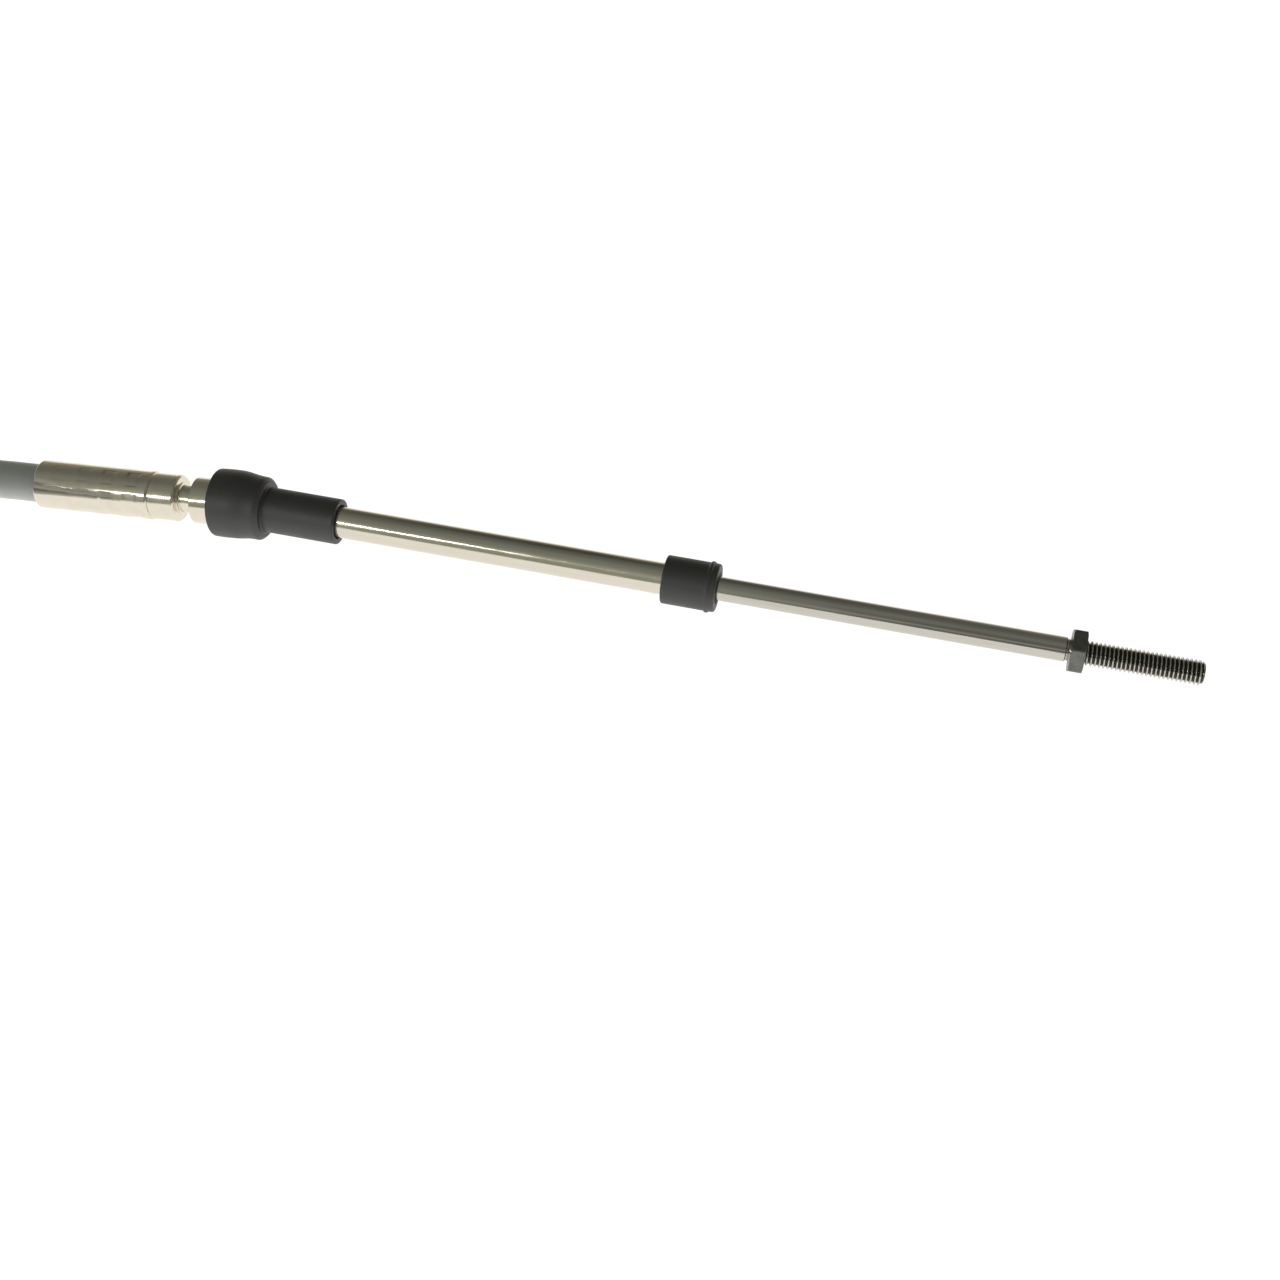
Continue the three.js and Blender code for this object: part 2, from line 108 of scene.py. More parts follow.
def add_ramp(tree, fac, stops, interpolation="LINEAR"):
    """A colour ramp with the given (place, colour) stops."""
    ramp = add_node(tree, "ShaderNodeValToRGB", {"Fac": fac})
    ramp.color_ramp.interpolation = interpolation
    elements = ramp.color_ramp.elements
    while len(elements) < len(stops):
        elements.new(1.0)
    for element, (position, colour) in zip(elements, stops):
        element.position = position
        element.color = (*colour, 1)
    return ramp.outputs["Color"]


TABLE_HALF = 4.0
TABLE_GLOW = 1.05
TABLE_GLOW_COLOUR = (1.0, 0.985, 0.955)
TABLE_GREY = 0.1
TABLE_SHINE = 0.1
TABLE_ROUGHNESS = 0.8
table_mesh = bpy.data.meshes.new("table")
table_corners = [(x, y, 0) for x, y in ((-1, -1), (1, -1), (1, 1), (-1, 1))]
table_points = [tuple(TABLE_HALF * c for c in p) for p in table_corners]
table_mesh.from_pydata(table_points, [], [(0, 1, 2, 3)])
table = bpy.data.objects.new("table", table_mesh)
bpy.context.scene.collection.objects.link(table)
table_finish = bpy.data.materials.new("white table")
table_finish.use_nodes = True
table_shader = table_finish.node_tree.nodes["Principled BSDF"]
table_shader.inputs["Base Color"].default_value = (TABLE_GREY, TABLE_GREY, TABLE_GREY, 1)
table_shader.inputs["Roughness"].default_value = TABLE_ROUGHNESS
table_shader.inputs["Specular IOR Level"].default_value = TABLE_SHINE
table_shader.inputs["Emission Color"].default_value = (*TABLE_GLOW_COLOUR, 1)
table_shader.inputs["Emission Strength"].default_value = TABLE_GLOW
table_mesh.materials.append(table_finish)

# The room's glow by the angle over the table, from the front (0) over the top to the back (180).
# The back is darkest straight behind the tube, and lighter towards both sides. The front is
# darker on the right, where a narrow window shows.
DARK_BACK_AT = -0.2
DARK_BACK_EDGES = (0.02, 0.3)
RIGHT_EDGES = (-0.13, 0.0)
LIGHT_BACK = (
    (104, (0.155, 0.16, 0.14)),
    (122, (0.15, 0.155, 0.13)),
    (134, (0.165, 0.165, 0.14)),
    (148, (0.215, 0.205, 0.165)),
    (160, (0.29, 0.265, 0.205)),
    (174, (0.42, 0.37, 0.29)),
    (180, (0.92, 0.90, 0.84)),
)
RIGHT_FRONT = (
    (-4, (0.92, 0.90, 0.84)),
    (1, (0.17, 0.17, 0.15)),
    (19, (0.19, 0.19, 0.17)),
    (24, (0.46, 0.46, 0.43)),
    (29, (0.30, 0.30, 0.27)),
    (35, (0.20, 0.20, 0.18)),
    (47, (0.13, 0.135, 0.12)),
    (56, (0.20, 0.20, 0.18)),
    (70, (0.215, 0.22, 0.195)),
)
ROOM_BANDS = (
    (-4, (0.92, 0.90, 0.84)),
    (2, (0.30, 0.305, 0.24)),
    (18, (0.34, 0.35, 0.28)),
    (48, (0.335, 0.35, 0.285)),
    (62, (0.25, 0.26, 0.225)),
    (80, (0.22, 0.23, 0.20)),
    (104, (0.155, 0.16, 0.14)),
    (122, (0.11, 0.115, 0.10)),
    (134, (0.06, 0.063, 0.055)),
    (148, (0.065, 0.065, 0.055)),
    (160, (0.17, 0.155, 0.12)),
    (174, (0.40, 0.35, 0.28)),
    (180, (0.92, 0.90, 0.84)),
)
room = bpy.data.worlds.new("room")
room.use_nodes = True
room_tree = room.node_tree
direction = add_node(room_tree, "ShaderNodeTexCoord")
parts = add_node(room_tree, "ShaderNodeSeparateXYZ", {"Vector": direction.outputs["Generated"]})
to_front = add_node(room_tree, "ShaderNodeMath", {0: parts.outputs["Y"], 1: -1.0},
                    operation="MULTIPLY")
over = add_node(room_tree, "ShaderNodeMath", {0: parts.outputs["Z"], 1: to_front.outputs["Value"]},
                operation="ARCTAN2")
share = add_node(room_tree, "ShaderNodeMapRange", {
    "Value": over.outputs["Value"], "From Min": math.radians(-180), "From Max": math.radians(180)})


def round_share(degrees):
    """The place of an angle over the table on the ramps, which hold a full turn."""
    return 0.5 + degrees / 360


def add_mix(tree, fac, first, second):
    """One colour mixed into another by a mask."""
    made = add_node(tree, "ShaderNodeMix", {0: fac, 6: first, 7: second}, data_type="RGBA")
    return made.outputs[2]


dark_room, light_room, right_room = (
    add_ramp(room_tree, share.outputs["Result"],
             [(round_share(angle), glow) for angle, glow in bands])
    for bands in (ROOM_BANDS, LIGHT_BACK, RIGHT_FRONT))
to_side = add_node(room_tree, "ShaderNodeMath", {0: parts.outputs["X"], 1: DARK_BACK_AT},
                   operation="SUBTRACT")
off_dark = add_node(room_tree, "ShaderNodeMath", {0: to_side.outputs["Value"]},
                    operation="ABSOLUTE")
lighter = add_node(room_tree, "ShaderNodeMapRange", {
    "Value": off_dark.outputs["Value"],
    "From Min": DARK_BACK_EDGES[0], "From Max": DARK_BACK_EDGES[1]})
behind = add_node(room_tree, "ShaderNodeMath", {
    0: share.outputs["Result"], 1: round_share(LIGHT_BACK[0][0])}, operation="GREATER_THAN")
lit_back = add_node(room_tree, "ShaderNodeMath", {
    0: lighter.outputs["Result"], 1: behind.outputs["Value"]}, operation="MULTIPLY")
on_right = add_node(room_tree, "ShaderNodeMapRange", {
    "Value": parts.outputs["X"], "From Min": RIGHT_EDGES[0], "From Max": RIGHT_EDGES[1]})
in_front = add_node(room_tree, "ShaderNodeMath", {
    0: share.outputs["Result"], 1: round_share(RIGHT_FRONT[-1][0])}, operation="LESS_THAN")
right_front = add_node(room_tree, "ShaderNodeMath", {
    0: on_right.outputs["Result"], 1: in_front.outputs["Value"]}, operation="MULTIPLY")
room_colour = add_mix(room_tree, lit_back.outputs["Value"], dark_room, light_room)
room_colour = add_mix(room_tree, right_front.outputs["Value"], room_colour, right_room)
background = room_tree.nodes["Background"]
room_tree.links.new(room_colour, background.inputs["Color"])
background.inputs["Strength"].default_value = 1.0
bpy.context.scene.world = room


# The long lamp's image is the bright line along the polished metal. It ends above the middle of
# the tube.
LAMP_LEFT_X = -2.4
LAMP_LEFT_RISE = math.radians(14)
LAMP_RIGHT_X = -0.45
LAMP_RIGHT_RISE = math.radians(36.5)
LAMP_DISTANCE = 1.6
LAMP_WIDTH = 0.07
LAMP_POWER = 9.0
LAMP_COLOUR = (1.0, 1.0, 0.97)


def over_table(x, rise):
    """A place beside the table, at the front, at an angle of rise over its edge."""
    return Vector((x, -LAMP_DISTANCE * math.cos(rise), LAMP_DISTANCE * math.sin(rise)))


lamp_left = over_table(LAMP_LEFT_X, LAMP_LEFT_RISE)
lamp_right = over_table(LAMP_RIGHT_X, LAMP_RIGHT_RISE)
lamp_middle = (lamp_left + lamp_right) / 2
along_lamp = (lamp_right - lamp_left).normalized()
out_of_lamp = -lamp_middle.normalized()
out_of_lamp = (out_of_lamp - along_lamp * out_of_lamp.dot(along_lamp)).normalized()
across_lamp = along_lamp.cross(out_of_lamp)
lamp_data = bpy.data.lights.new("long_lamp", "AREA")
lamp_data.shape = "RECTANGLE"
lamp_data.size = (lamp_right - lamp_left).length
lamp_data.size_y = LAMP_WIDTH
lamp_data.energy = LAMP_POWER
lamp_data.color = LAMP_COLOUR
lamp = bpy.data.objects.new("long_lamp", lamp_data)
lamp.matrix_world = Matrix.Translation(lamp_middle) @ Matrix(
    (along_lamp, across_lamp, -out_of_lamp)).transposed().to_4x4()
bpy.context.scene.collection.objects.link(lamp)

# Conduit. One length of grey plastic jacket over armour wires, liner and core wire. It leaves the
# near hub, lies in a hank of four turns on its ties, and climbs over the hank into the far hub.
CONDUIT_D = 7.94 * MM
CONDUIT_SIDES = 24
CONDUIT_STEP = 3.2 * MM
SOCKET_REACH = 19.7 * MM
LEAD_REACH = 40 * MM
LEAD_STRAIGHT = 0.2  # share of the lead's reach that goes straight on from the hub
LEAD_SIDE = 2.6 * MM
LEAD_BEND = ((0.5, 0.32, 0.6), (0.22, 0.06, 0.15))  # shares of reach and side, and sag in mm
TURN_MOVES = ((0.65, 1.0), (0.45, 0.8), (0.25, 0.6))  # where a bend moves on to the next turn
TAIL_RISE_SHARE = 0.5  # of the last bend, over which the conduit climbs to the far hub
HUB_LENGTH = 43.4 * MM  # from the conduit end to the centre of the ball

conduit_r = CONDUIT_D / 2
hank_low, hank_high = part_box("conduit_coil")
outer_turn_r = (hank_high.y - hank_low.y) / 2 - conduit_r
inner_turn_r = outer_turn_r - (hank_high.z - hank_low.z - CONDUIT_D)
hank_y = (hank_low.y + hank_high.y) / 2
bend_x = hank_high.x - outer_turn_r - conduit_r
far_bend_x = hank_low.x + outer_turn_r + conduit_r
low_z = hank_low.z + conduit_r
top_z = hank_high.z - conduit_r
outer_run_y = hank_y + outer_turn_r


def smooth(value, start, end):
    """0 before start, 1 after end, and a smooth step between."""
    t = min(max((value - start) / (end - start), 0.0), 1.0)
    return t * t * (3 - 2 * t)


def end_frame(prefix, mount, pivot):
    """A frame at a swivel's ball, with X along the hub or the rod towards the tip."""
    x = Vector(mounts[prefix + mount]["axis"]).normalized()
    y = Vector((0, 0, 1)).cross(x).normalized()
    z = x.cross(y)
    return Matrix.Translation(pivot) @ Matrix((x, y, z)).transposed().to_4x4()


pivots = {end: Vector(joints[end + "_swivel"]["pos_m"]) for end in ("near", "far")}
hub_frames = {end: end_frame(end, "_clamp_shoulder", pivots[end]) for end in pivots}
line_frames = {end: end_frame(end, "_tip", pivots[end]) for end in pivots}


def on_hub(end, from_mouth):
    """A point on a hub's axis, so far outside its conduit end."""
    return hub_frames[end] @ Vector((-HUB_LENGTH - from_mouth, 0, 0))


def curve_through(points, step):
    """Points spaced evenly along a smooth curve through the given ones."""
    ends = [2 * points[0] - points[1], *points, 2 * points[-1] - points[-2]]
    out = []
    for a, b, c, d in zip(ends, ends[1:], ends[2:], ends[3:]):
        count = max(2, round((c - b).length / step))
        for i in range(count):
            t = i / count
            out.append(0.5 * (2 * b + (c - a) * t + (2 * a - 5 * b + 4 * c - d) * t * t
                              + (3 * b - a - 3 * c + d) * t ** 3))
    out.append(points[-1])
    return out


def conduit_route():
    """The middle of the conduit, from inside the near hub to inside the far one."""
    lead = [
        on_hub("near", -SOCKET_REACH),
        on_hub("near", -SOCKET_REACH / 2),
        on_hub("near", 0),
        on_hub("near", LEAD_REACH * LEAD_STRAIGHT),
        *(Vector((bend_x + LEAD_REACH * reach, outer_run_y + LEAD_SIDE * side, low_z - sag * MM))
          for reach, side, sag in LEAD_BEND),
        Vector((bend_x, outer_run_y, low_z)),
    ]
    points = curve_through(lead, CONDUIT_STEP)
    far_mouth = on_hub("far", 0)
    turns = (
        (outer_turn_r, low_z, *TURN_MOVES[0]),
        (inner_turn_r, low_z, *TURN_MOVES[1]),
        (inner_turn_r, top_z, *TURN_MOVES[2]),
        (outer_turn_r, top_z, 0.0, TAIL_RISE_SHARE),
    )
    run_steps = round((bend_x - far_bend_x) / CONDUIT_STEP)
    bend_steps = round(math.pi * outer_turn_r / CONDUIT_STEP)
    for index, (radius, z, start, end) in enumerate(turns):
        last = index == len(turns) - 1
        next_radius = radius if last else turns[index + 1][0]
        next_z = far_mouth.z if last else turns[index + 1][1]
        for i in range(1, run_steps + 1):
            x = bend_x + (far_bend_x - bend_x) * i / run_steps
            points.append(Vector((x, hank_y + radius, z)))
        for i in range(1, bend_steps + 1):
            angle = math.pi * (0.5 + i / bend_steps)
            points.append(Vector((far_bend_x + radius * math.cos(angle),
                                  hank_y + radius * math.sin(angle), z)))
        for i in range(1, run_steps + 1):
            x = far_bend_x + (bend_x - far_bend_x) * i / run_steps
            points.append(Vector((x, hank_y - radius, z)))
        for i in range(1, bend_steps + 1):
            share = i / bend_steps
            moved = smooth(share, start, end)
            at_radius = radius + (next_radius - radius) * moved
            angle = math.pi * (share - 0.5)
            points.append(Vector((bend_x + at_radius * math.cos(angle),
                                  hank_y + at_radius * math.sin(angle),
                                  z + (next_z - z) * moved)))
    points.append(far_mouth)
    points += [on_hub("far", -SOCKET_REACH * share) for share in (0.25, 0.5, 0.75, 1.0)]
    return points


def mesh_piece(name, points, faces, places, finish, smooth_angle=math.radians(40)):
    """An object from points in the frame, with each point's own place on its piece (in mm)."""
    mesh = bpy.data.meshes.new(name)
    mesh.from_pydata(points, [], faces)
    mesh.attributes.new("place", "FLOAT_VECTOR", "POINT")
    mesh.attributes["place"].data.foreach_set("vector", [c for p in places for c in p])
    mesh.shade_smooth()
    mesh.set_sharp_from_angle(angle=smooth_angle)
    mesh.materials.append(finish)
    made = bpy.data.objects.new(name, mesh)
    bpy.context.scene.collection.objects.link(made)
    return made


def grid_faces(rows, columns, close_rows=False):
    """Quads between rows of points, each row closed on itself. X out, Y round."""
    faces = []
    for i in range(rows if close_rows else rows - 1):
        a = i * columns
        b = (i + 1) % rows * columns
        for j in range(columns):
            k = (j + 1) % columns
            faces.append((a + j, a + k, b + k, b + j))
    return faces


def swept_tube(name, route, radius, sides, finish):
    """A round tube along a route, its sections kept from twisting."""
    points = []
    places = []
    along = 0.0
    side = Vector((0, 0, 1))
    for i, at in enumerate(route):
        before = route[max(i - 1, 0)]
        after = route[min(i + 1, len(route) - 1)]
        way = (after - before).normalized()
        side = (side - way * side.dot(way)).normalized()
        across = way.cross(side)
        along += (at - before).length / MM
        for j in range(sides):
            angle = 2 * math.pi * j / sides
            spoke = side * math.cos(angle) + across * math.sin(angle)
            points.append(at + radius * spoke)
            places.append((along, radius / MM * math.cos(angle), radius / MM * math.sin(angle)))
    faces = grid_faces(len(route), sides)
    last = (len(route) - 1) * sides
    faces.append(tuple(reversed(range(sides))))
    faces.append(tuple(range(last, last + sides)))
    return mesh_piece(name, points, faces, places, finish)


def new_group(name, inputs, outputs):
    """An empty shader group with named sockets, and its two end nodes."""
    group = bpy.data.node_groups.new(name, "ShaderNodeTree")
    for key, kind, default in inputs:
        socket = group.interface.new_socket(key, in_out="INPUT", socket_type=kind)
        socket.default_value = default
    for key, kind in outputs:
        group.interface.new_socket(key, in_out="OUTPUT", socket_type=kind)
    return group, group.nodes.new("NodeGroupInput"), group.nodes.new("NodeGroupOutput")


# Fine lines that run along a drawn or extruded piece, or round a turned one, as Grain says.
LINE_HEIGHT = 0.1 * MM
lines_group, lines_in, lines_out = new_group(
    "worked lines",
    [("Grain", "NodeSocketVector", (0, 0, 0)), ("Depth", "NodeSocketFloat", 0.1)],
    [("Lines", "NodeSocketFloat"), ("Normal", "NodeSocketVector")],
)
lines_place = add_node(lines_group, "ShaderNodeAttribute", attribute_name="place")
lines_scaled = add_node(lines_group, "ShaderNodeVectorMath", {
    0: lines_place.outputs["Vector"], 1: lines_in.outputs["Grain"]}, operation="MULTIPLY")
lines_noise = add_node(lines_group, "ShaderNodeTexNoise", {
    "Vector": lines_scaled.outputs["Vector"], "Scale": 1.0, "Detail": 3.0, "Roughness": 0.6})
lines_bump = add_node(lines_group, "ShaderNodeBump", {
    "Height": lines_noise.outputs["Fac"], "Strength": lines_in.outputs["Depth"],
    "Distance": LINE_HEIGHT})
lines_group.links.new(lines_noise.outputs["Fac"], lines_out.inputs["Lines"])
lines_group.links.new(lines_bump.outputs["Normal"], lines_out.inputs["Normal"])

# Soft patches where a surface was handled, of about the given Size in mm.
patches_group, patches_in, patches_out = new_group(
    "handled patches",
    [("Size", "NodeSocketFloat", 6.0)],
    [("Patches", "NodeSocketFloat")],
)
patches_place = add_node(patches_group, "ShaderNodeAttribute", attribute_name="place")
patches_scale = add_node(patches_group, "ShaderNodeMath", {
    0: 1.0, 1: patches_in.outputs["Size"]}, operation="DIVIDE")
patches_noise = add_node(patches_group, "ShaderNodeTexNoise", {
    "Vector": patches_place.outputs["Vector"], "Scale": patches_scale.outputs["Value"],
    "Detail": 4.0, "Roughness": 0.55})
patches_group.links.new(patches_noise.outputs["Fac"], patches_out.inputs["Patches"])


def add_group(tree, group, **inputs):
    made = tree.nodes.new("ShaderNodeGroup")
    made.node_tree = group
    for key, value in inputs.items():
        made.inputs[key].default_value = value
    return made


def blended(tree, fac, low, high):
    """A colour between two, by a mask."""
    return add_ramp(tree, fac, ((0.3, low), (0.7, high)))


def ranged(tree, value, low, high):
    """A number between two, by a mask."""
    made = add_node(tree, "ShaderNodeMapRange", {
        "Value": value, "From Min": 0.3, "From Max": 0.7, "To Min": low, "To Max": high})
    return made.outputs["Result"]


def new_finish(name, **values):
    """A material with its Principled shader's plain values set."""
    finish = bpy.data.materials.new(name)
    finish.use_nodes = True
    shader = finish.node_tree.nodes["Principled BSDF"]
    for key, value in values.items():
        shader.inputs[key.replace("_", " ")].default_value = value
    return finish, finish.node_tree, shader


JACKET_DARK = (0.50, 0.522, 0.518)
JACKET_LIGHT = (0.565, 0.583, 0.576)
jacket_finish, tree, shader = new_finish("grey jacket", Specular_IOR_Level=0.45)
lines = add_group(tree, lines_group, Grain=(0.05, 3.0, 3.0), Depth=0.25)
patches = add_group(tree, patches_group, Size=9.0)
tree.links.new(blended(tree, patches.outputs["Patches"], JACKET_DARK, JACKET_LIGHT),
               shader.inputs["Base Color"])
tree.links.new(ranged(tree, patches.outputs["Patches"], 0.34, 0.48), shader.inputs["Roughness"])
tree.links.new(lines.outputs["Normal"], shader.inputs["Normal"])

route = conduit_route()
conduit = swept_tube("conduit", route, conduit_r, CONDUIT_SIDES, jacket_finish)
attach(conduit, "cable")
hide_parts("conduit_lead", "conduit_coil", "conduit_tail")


# Ties. Two black nylon cable ties hold the hank: one round the far run, one round the near run
# and the far hub that lies on it. Each is a ribbed band pulled through its square head.
TIE_GAP = 0.3 * MM
TIE_FACETS = 288
TIE_STEP = 0.25 * MM
TIE_HALF = 2.4 * MM
TIE_THICKNESS = 1.2 * MM
TIE_SIDE_HEIGHT = 0.75  # of the thickness, where its rounded edges start
TIE_EDGE = 0.4 * MM
TIE_RIM = 1.0 * MM
RIB_EDGE = 1.2 * MM
RIB_PITCH = 1.0 * MM
RIB_DEPTH = 0.12 * MM
TIE_HEAD_HALF = 3.3 * MM
TIE_HEAD_DEPTH = 4.4 * MM
TIE_HEAD_EDGE = 0.6 * MM
TIE_END_LENGTH = 2.4 * MM
TIE_END_BACK = 1.6 * MM
TIE_END_HALF = 0.6 * MM
TIE_END_EDGE = 0.25 * MM
TIE_END_SUNK = 0.3 * MM
TIED_HUB_R = 5 * MM
TIED_HUB_AT = 12.55 * MM
NYLON_DARK = (0.012, 0.012, 0.013)
NYLON_LIGHT = (0.022, 0.022, 0.024)
nylon_finish, tree, shader = new_finish("black nylon", Specular_IOR_Level=0.5)
lines = add_group(tree, lines_group, Grain=(6.0, 0.4, 0.4), Depth=0.3)
patches = add_group(tree, patches_group, Size=3.0)
tree.links.new(blended(tree, patches.outputs["Patches"], NYLON_DARK, NYLON_LIGHT),
               shader.inputs["Base Color"])
tree.links.new(ranged(tree, patches.outputs["Patches"], 0.3, 0.5), shader.inputs["Roughness"])
tree.links.new(lines.outputs["Normal"], shader.inputs["Normal"])


def convex_outline(circles, grow):
    """The outline of a band stretched round circles (y, z, radius), as evenly spread points."""
    outline = []
    for i in range(TIE_FACETS):
        angle = 2 * math.pi * i / TIE_FACETS
        out = Vector((math.cos(angle), math.sin(angle)))
        y, z, r = max(circles, key=lambda c: c[0] * out.x + c[1] * out.y + c[2])
        point = Vector((y, z)) + out * (r + grow)
        if not outline or (point - outline[-1]).length > 1e-6:
            outline.append(point)
    spread = []
    closed = outline + outline[:1]
    for a, b in zip(closed, closed[1:]):
        count = max(1, round((b - a).length / TIE_STEP))
        spread += [a + (b - a) * i / count for i in range(count)]
    return spread


def box_piece(name, low, high, bevel, finish):
    """A block with rounded edges."""
    shape = bmesh.new()
    bmesh.ops.create_cube(shape, size=1.0)
    size = Vector(high) - Vector(low)
    middle = (Vector(high) + Vector(low)) / 2
    for v in shape.verts:
        v.co = Vector(v.co[i] * size[i] + middle[i] for i in range(3))
    bmesh.ops.bevel(shape, geom=list(shape.edges), offset=bevel, segments=3, affect="EDGES")
    points = [v.co.copy() for v in shape.verts]
    faces = [[v.index for v in f.verts] for f in shape.faces]
    shape.free()
    return mesh_piece(name, points, faces, [p / MM for p in points], finish)


def tie_band(name, node, circles, head_side):
    """A tie round its CAD node: the ribbed band, its head, and its cut end."""
    low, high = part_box(node)
    middle_x = (low.x + high.x) / 2
    inner = convex_outline(circles, TIE_GAP)
    points = []
    places = []
    travelled = 0.0
    for i, p in enumerate(inner):
        q = inner[(i + 1) % len(inner)]
        before = inner[i - 1]
        way = (q - before).normalized()
        out = Vector((way.y, -way.x))
        rib = RIB_DEPTH * (0.5 - 0.5 * math.cos(2 * math.pi * travelled / RIB_PITCH))
        half_section = (
            (TIE_HALF, 0.0), (TIE_HALF, TIE_THICKNESS * TIE_SIDE_HEIGHT),
            (TIE_HALF - TIE_EDGE, TIE_THICKNESS), (TIE_HALF - TIE_RIM, TIE_THICKNESS),
            (TIE_HALF - RIB_EDGE, TIE_THICKNESS - rib),
        )
        section = [(-x, up_) for x, up_ in half_section] + list(reversed(half_section))
        for x, up_ in section:
            at = p + out * up_
            points.append(Vector((middle_x + x, at.x, at.y)))
            places.append((travelled / MM, x / MM, up_ / MM))
        travelled += (q - p).length
    faces = [tuple(reversed(f)) for f in grid_faces(len(inner), len(section), close_rows=True)]
    band = mesh_piece(name, points, faces, places, nylon_finish)
    edge = high.y if head_side > 0 else low.y
    back = edge - head_side * TIE_HEAD_DEPTH
    middle_z = (low_z + top_z) / 2
    head_low = (middle_x - TIE_HEAD_HALF, min(edge, back), middle_z - TIE_HEAD_HALF)
    head_high = (middle_x + TIE_HEAD_HALF, max(edge, back), middle_z + TIE_HEAD_HALF)
    head = box_piece(name + "_head", head_low, head_high, TIE_HEAD_EDGE, nylon_finish)
    stub_y = edge - head_side * TIE_END_BACK
    stub_low = (middle_x - TIE_HALF, stub_y - TIE_END_HALF, head_high[2] - TIE_END_SUNK)
    stub_high = (middle_x + TIE_HALF, stub_y + TIE_END_HALF, head_high[2] + TIE_END_LENGTH)
    stub = box_piece(name + "_end", stub_low, stub_high, TIE_END_EDGE, nylon_finish)
    for made in (band, head, stub):
        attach(made, "cable")
    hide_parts(node)
    return [band, head, stub]


strand_rows = (low_z, top_z)
strand_offsets = (outer_turn_r, inner_turn_r)
run_circles = [(hank_y - r, z, conduit_r) for r in strand_offsets for z in strand_rows]
near_circles = [(hank_y + r, z, conduit_r) for r in strand_offsets for z in strand_rows]
tied_hub = on_hub("far", -TIED_HUB_AT)
near_circles.append((tied_hub.y, tied_hub.z, TIED_HUB_R))
ties = tie_band("tie_on_run", "tie_run", run_circles, -1)
ties += tie_band("tie_on_fitting", "tie_fitting", near_circles, 1)

# Hubs. Each is turned from bar steel, plated bright, pushed over the conduit's end and crimped
# in four rings of six short dents. It has a fine scored line, a clamp groove and a collar.
CRIMP_LENGTH = 25.1
SCORE_WIDTH = 0.4
PLAIN_LENGTH = 5.4
GROOVE_WIDTH = 3.4
COLLAR_LENGTH = 5.7
CRIMP_R = 5.0
SCORE_R = 4.55
SCORE_SIDE_R = 4.75
PLAIN_R = 4.8
PLAIN_BEVEL = 0.4
GROOVE_R = 2.85
GROOVE_FILLET = 0.45
COLLAR_R = 4.75
BALL_HOUSING_R = 5.2
BALL_HOUSING_MOUTH = 2.6
BALL_HOUSING_MOUTH_R = 3.806
BALL_ROOM_R = 4.3
CORE_BORE_R = 1.6
CONDUIT_HOLE_DEPTH = 20
CONDUIT_HOLE_R = 4.27
CONDUIT_MOUTH_R = 4.05
CRIMP_RING_STEP = 0.16
DENT_RINGS = (5.3, 10.7, 16.1, 21.5)
DENT_DEPTHS = (0.03, 0.06, 0.09, 0.12)
DENT_LENGTH = 2.6
DENT_WIDTH = math.radians(40)
DENTS_ROUND = 6
DENT_TURN = math.radians(45.4)
DENT_EDGE = 0.22
DENT_END = 0.9
HUB_SEGMENTS = 192
BEND_SPAN = (-3.0, 6.0)  # the part of a boot that bends from the hub's line to the tube's


def rounded(outline, default=0.15, steps=4):
    """A closed outline of (along, radius[, corner radius]) points with its corners rounded."""
    out = []
    count = len(outline)
    for i in range(count):
        here = Vector(outline[i][:2])
        before = Vector(outline[i - 1][:2])
        after = Vector(outline[(i + 1) % count][:2])
        size = outline[i][2] if len(outline[i]) > 2 else default
        size = min(size, (here - before).length * 0.4, (after - here).length * 0.4)
        if size < 1e-4:
            out.append(here)
            continue
        start = here + (before - here).normalized() * size
        end = here + (after - here).normalized() * size
        lead = (start - here) * 0.2
        trail = (end - here) * 0.2
        out.append(start + lead)
        for step in range(steps + 1):
            t = step / steps
            out.append(start * (1 - t) ** 2 + here * 2 * t * (1 - t) + end * t * t)
        out.append(end + trail)
    return out


def turned_piece(name, outline, at, segments, finish, shape=None, rear=None):
    """A closed outline turned about X in a frame, with an optional change of radius.

    With a rear frame, the rows behind the frame's origin follow that one.
    """
    points = []
    places = []
    for along, radius in outline:
        for j in range(segments):
            angle = 2 * math.pi * j / segments
            r = radius if shape is None else shape(along, radius, angle)
            local = Vector((along, r * math.cos(angle), r * math.sin(angle)))
            places.append(tuple(local))
            point = at @ (local * MM)
            if rear is not None:
                point = (rear @ (local * MM)).lerp(point, smooth(along, *BEND_SPAN))
            points.append(point)
    faces = [tuple(reversed(f)) for f in grid_faces(len(outline), segments, close_rows=True)]
    return mesh_piece(name, points, faces, places, finish)


def filled_in(outline, low, high, step):
    """The outline with extra points on its stretch between two places along."""
    out = []
    for a, b in zip(outline, outline[1:] + outline[:1]):
        out.append(a)
        if low <= min(a[0], b[0]) and max(a[0], b[0]) <= high and b[0] > a[0] + step:
            count = round((b[0] - a[0]) / step)
            out += [a + (b - a) * i / count for i in range(1, count)]
    return out


def arc(radius, start, end, steps=10):
    """Outline points on a circle about the ball's centre, between two places along the hub."""
    first = math.acos(start / radius)
    last = math.acos(end / radius)
    turns_ = [first + (last - first) * i / steps for i in range(steps + 1)]
    return [(radius * math.cos(a), radius * math.sin(a), 0.0) for a in turns_]


